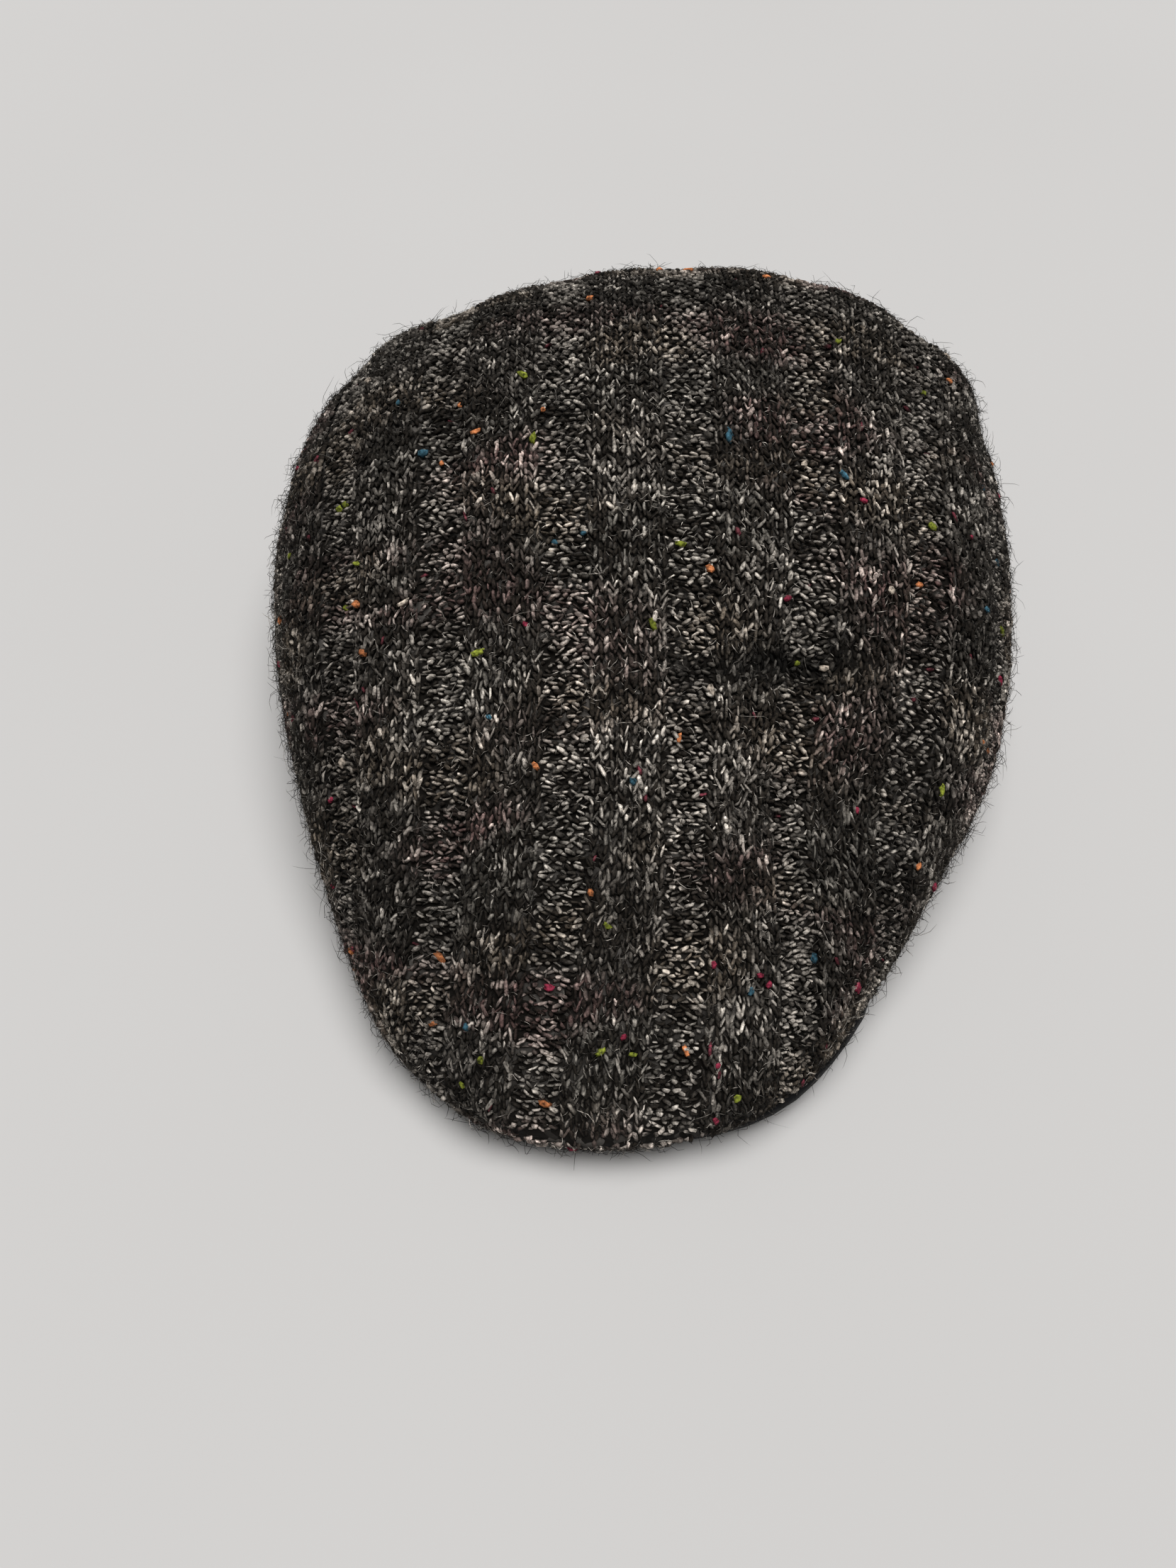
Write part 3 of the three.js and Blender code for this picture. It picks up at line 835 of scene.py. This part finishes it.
def lay_neps():
    points, faces, uvs = small_ball(6, 5)
    spot = some(whole_knit, rng.choice(len(whole_knit["place"]), NEP_COUNT, replace=False))
    heading = rng.uniform(0, math.tau, (NEP_COUNT, 1))
    axis = spot["along"] * np.cos(heading) + spot["aside"] * np.sin(heading)
    beside = np.cross(spot["outward"], axis)
    size = rng.uniform(*NEP_SIZES, (NEP_COUNT, 1))
    lumpy = rng.normal(1, NEP_LUMPS, (NEP_COUNT, len(points), 1)) * points
    base = spot["place"] + spot["outward"] * rng.uniform(*NEP_LIFT, (NEP_COUNT, 1))
    drawn = rng.uniform(*NEP_DRAWN, (NEP_COUNT, 1, 1))
    laid = (
        base[:, None, :]
        + axis[:, None, :] * (lumpy[..., 0:1] * size[:, :, None] * drawn)
        + beside[:, None, :] * (lumpy[..., 1:2] * size[:, :, None] * NEP_WIDTH)
        + spot["outward"][:, None, :] * (lumpy[..., 2:3] * size[:, :, None] * NEP_HEIGHT)
    )
    dye = rng.choice(len(NEP_DYES), NEP_COUNT, p=[row["share"] for row in NEP_DYES])
    colours = np.array([row["colour"] for row in NEP_DYES])[dye] * rng.uniform(*NEP_TONES, (NEP_COUNT, 1))
    mottled = colours[:, None, :] * rng.uniform(*NEP_MOTTLE, (NEP_COUNT, len(points), 1))
    dress(joined_copies("neps", laid, faces, uvs, mottled))


lay_neps()


# The wool is hairy: short fibres lie over the ribs as a nap, longer ones stand off as a halo,
# and a few stray ones curl away from it.
NAP = {
    "count": 27000,
    "length": (1.4, 3.8),
    "radius": 0.09,
    "rise": (0.08, 0.6),
    "curl": 0.6,
    "wave": 0.1,
    "bends": 1,
}
HALO = {
    "count": 9900,
    "length": (2.2, 6.0),
    "radius": 0.085,
    "rise": (0.2, 0.85),
    "curl": 0.7,
    "wave": 0.16,
    "bends": 3,
}
STRAYS = {
    "count": 1800,
    "length": (5.0, 10.0),
    "radius": 0.075,
    "rise": (0.2, 0.7),
    "curl": 0.8,
    "wave": 0.16,
    "bends": 5,
}
SHORT_FIBRES = 1.6
FIBRE_DROOP = 0.5
FIBRE_TURNS = (3, 8)
ROOT_SCATTER = 1.2
ROOT_LIFT = 0.3
FIBRE_TONES = (0.004, 0.010, 0.03, 0.10, 0.28, 0.60)
PALE_SHARES = (0.0, 0.25, 0.38, 0.60, 0.86, 1.0)
DARK_SHARES = (0.0, 0.52, 0.75, 0.90, 0.975, 1.0)
HAIRY_SLOPES = (0.12, 0.5)
PURL_NAP = 0.6
TOP_HALO = 0.2
EDGE_HALO = 1.8


def lay_fibres(name, hair, shares, weight):
    """Lays fibres on the knit, most where the weight is great, with their tones in the given shares."""
    points, faces, uvs = small_ball(3, hair["bends"] + 1)
    count = hair["count"]
    spot = some(whole_knit, rng.choice(len(whole_knit["place"]), count, p=weight / weight.sum()))
    share = (points[:, 2] + 1) / 2
    heading = rng.uniform(0, math.tau, (count, 1))
    flat = spot["along"] * np.cos(heading) + spot["aside"] * np.sin(heading)
    turned = spot["aside"] * np.cos(heading) - spot["along"] * np.sin(heading)
    rise = rng.uniform(*hair["rise"], (count, 1))
    axis = unit(spot["outward"] * rise + flat * np.sqrt(1 - rise ** 2))
    second = unit(np.cross(axis, turned))
    length = mix(*hair["length"], rng.uniform(0, 1, (count, 1)) ** SHORT_FIBRES)
    curl = turned * rng.normal(0, hair["curl"], (count, 1))
    curl -= spot["outward"] * rng.uniform(0, FIBRE_DROOP, (count, 1))
    sweep = rng.uniform(*FIBRE_TURNS, (count, 1)) * share
    swing = hair["wave"] * np.sin(sweep + rng.uniform(0, math.tau, (count, 1)))
    root = flat * rng.uniform(-ROOT_SCATTER, ROOT_SCATTER, (count, 1))
    root += turned * rng.uniform(-ROOT_SCATTER, ROOT_SCATTER, (count, 1))
    base = spot["place"] + root + spot["outward"] * ROOT_LIFT
    laid = (
        base[:, None, :]
        + axis[:, None, :] * (length * share)[..., None]
        + curl[:, None, :] * (length * share ** 2)[..., None]
        + second[:, None, :] * (length * swing)[..., None]
        + turned[:, None, :] * (points[:, 0] * hair["radius"])[:, None]
        + second[:, None, :] * (points[:, 1] * hair["radius"])[:, None]
    )
    tone = np.interp(rng.uniform(0, 1, count), shares, FIBRE_TONES)
    # The fibres take the same painted shade and light as the strands under them.
    shaded = tone[:, None] * WARM_WOOL * painted_shade(spot["place"], spot["outward"])
    colours = np.broadcast_to(shaded[:, None, :], laid.shape)
    dress(joined_copies(name, laid, faces, uvs, colours))


steep = ease(*HAIRY_SLOPES, 1 - abs(whole_knit["outward"][:, 2]))
nap_weight = np.where(whole_knit["purl"], PURL_NAP, 1.0) * (1 + steep)
halo_weight = TOP_HALO + EDGE_HALO * steep
lay_fibres("nap", NAP, PALE_SHARES, nap_weight)
lay_fibres("halo", HALO, DARK_SHARES, halo_weight)
lay_fibres("stray_fibres", STRAYS, DARK_SHARES, halo_weight)


# The floor is a plain pale sheet that the cap lies on, in place of the cloth in the photograph.
# It is wide enough that no edge of it shows from a low view.
FLOOR_SIZE = 12.0
FLOOR_PALE = (0.53, 0.521, 0.513, 1.0)
FLOOR_SHADE = (0.49, 0.481, 0.473, 1.0)


def pale_floor():
    material, nodes, links, matt = new_material("pale_floor")
    matt.inputs["Roughness"].default_value = 0.9
    matt.inputs["Specular IOR Level"].default_value = 0.2
    place = nodes.new("ShaderNodeTexCoord")
    cloud = nodes.new("ShaderNodeTexNoise")
    cloud.inputs["Scale"].default_value = 3.0
    colour = nodes.new("ShaderNodeMix")
    colour.data_type = "RGBA"
    colour.inputs["A"].default_value = FLOOR_PALE
    colour.inputs["B"].default_value = FLOOR_SHADE
    links.new(place.outputs["Object"], cloud.inputs["Vector"])
    links.new(cloud.outputs["Fac"], colour.inputs["Factor"])
    links.new(colour.outputs["Result"], matt.inputs["Base Color"])
    return material


floor_shape = bmesh.new()
bmesh.ops.create_grid(floor_shape, x_segments=1, y_segments=1, size=FLOOR_SIZE / 2)
floor_mesh = bpy.data.meshes.new("floor")
floor_shape.to_mesh(floor_mesh)
floor_shape.free()
floor_mesh.materials.append(pale_floor())
floor = bpy.data.objects.new("floor", floor_mesh)
bpy.context.scene.collection.objects.link(floor)


# The light is soft and comes from above, a little from the back and the right, in a pale room.
# Behind the floor the camera sees a backdrop of the floor's own tone.
LIGHT_FROM_BACK = 4.0
LIGHT_FROM_RIGHT = 5.0
LIGHT_SPREAD = 45.0
LIGHT_STRENGTH = 3.5
AMBIENT = (1.0, 0.985, 0.965, 1.0)
AMBIENT_STRENGTH = 0.18
BACKDROP_STRENGTH = 0.645

lamp = bpy.data.lights.new("soft_light", "SUN")
lamp.angle = math.radians(LIGHT_SPREAD)
lamp.energy = LIGHT_STRENGTH
soft_light = bpy.data.objects.new("soft_light", lamp)
soft_light.rotation_euler = (math.radians(-LIGHT_FROM_BACK), math.radians(LIGHT_FROM_RIGHT), 0.0)
bpy.context.scene.collection.objects.link(soft_light)

world = bpy.data.worlds.new("pale_room")
world.use_nodes = True
room_nodes = world.node_tree.nodes
room_links = world.node_tree.links
room_light = room_nodes["Background"]
room_light.inputs["Color"].default_value = AMBIENT
room_light.inputs["Strength"].default_value = AMBIENT_STRENGTH
backdrop = room_nodes.new("ShaderNodeBackground")
backdrop.inputs["Color"].default_value = AMBIENT
backdrop.inputs["Strength"].default_value = BACKDROP_STRENGTH
seen = room_nodes.new("ShaderNodeLightPath")
room = room_nodes.new("ShaderNodeMixShader")
room_links.new(seen.outputs["Is Camera Ray"], room.inputs["Fac"])
room_links.new(room_light.outputs["Background"], room.inputs[1])
room_links.new(backdrop.outputs["Background"], room.inputs[2])
room_links.new(room.outputs["Shader"], room_nodes["World Output"].inputs["Surface"])
bpy.context.scene.world = world
bpy.context.scene.view_settings.view_transform = "Standard"


# The camera looks down on the cap from in front of the peak, as in the photograph.
# Its place and lens were fitted to the outline of the cap there.
CAMERA_PLACE = (-0.0038, -0.2266, 0.3114)
CAMERA_PITCH = 57.05
CAMERA_YAW = 2.68
CAMERA_LENS = 28.07
SENSOR_WIDTH = 36.0
NEAREST = 0.01

lens = bpy.data.cameras.new("camera")
lens.lens = CAMERA_LENS
lens.sensor_width = SENSOR_WIDTH
lens.clip_start = NEAREST
camera = bpy.data.objects.new("camera", lens)
camera.location = CAMERA_PLACE
camera.rotation_euler = (math.radians(90 - CAMERA_PITCH), 0.0, math.radians(CAMERA_YAW))
bpy.context.scene.collection.objects.link(camera)
bpy.context.scene.camera = camera
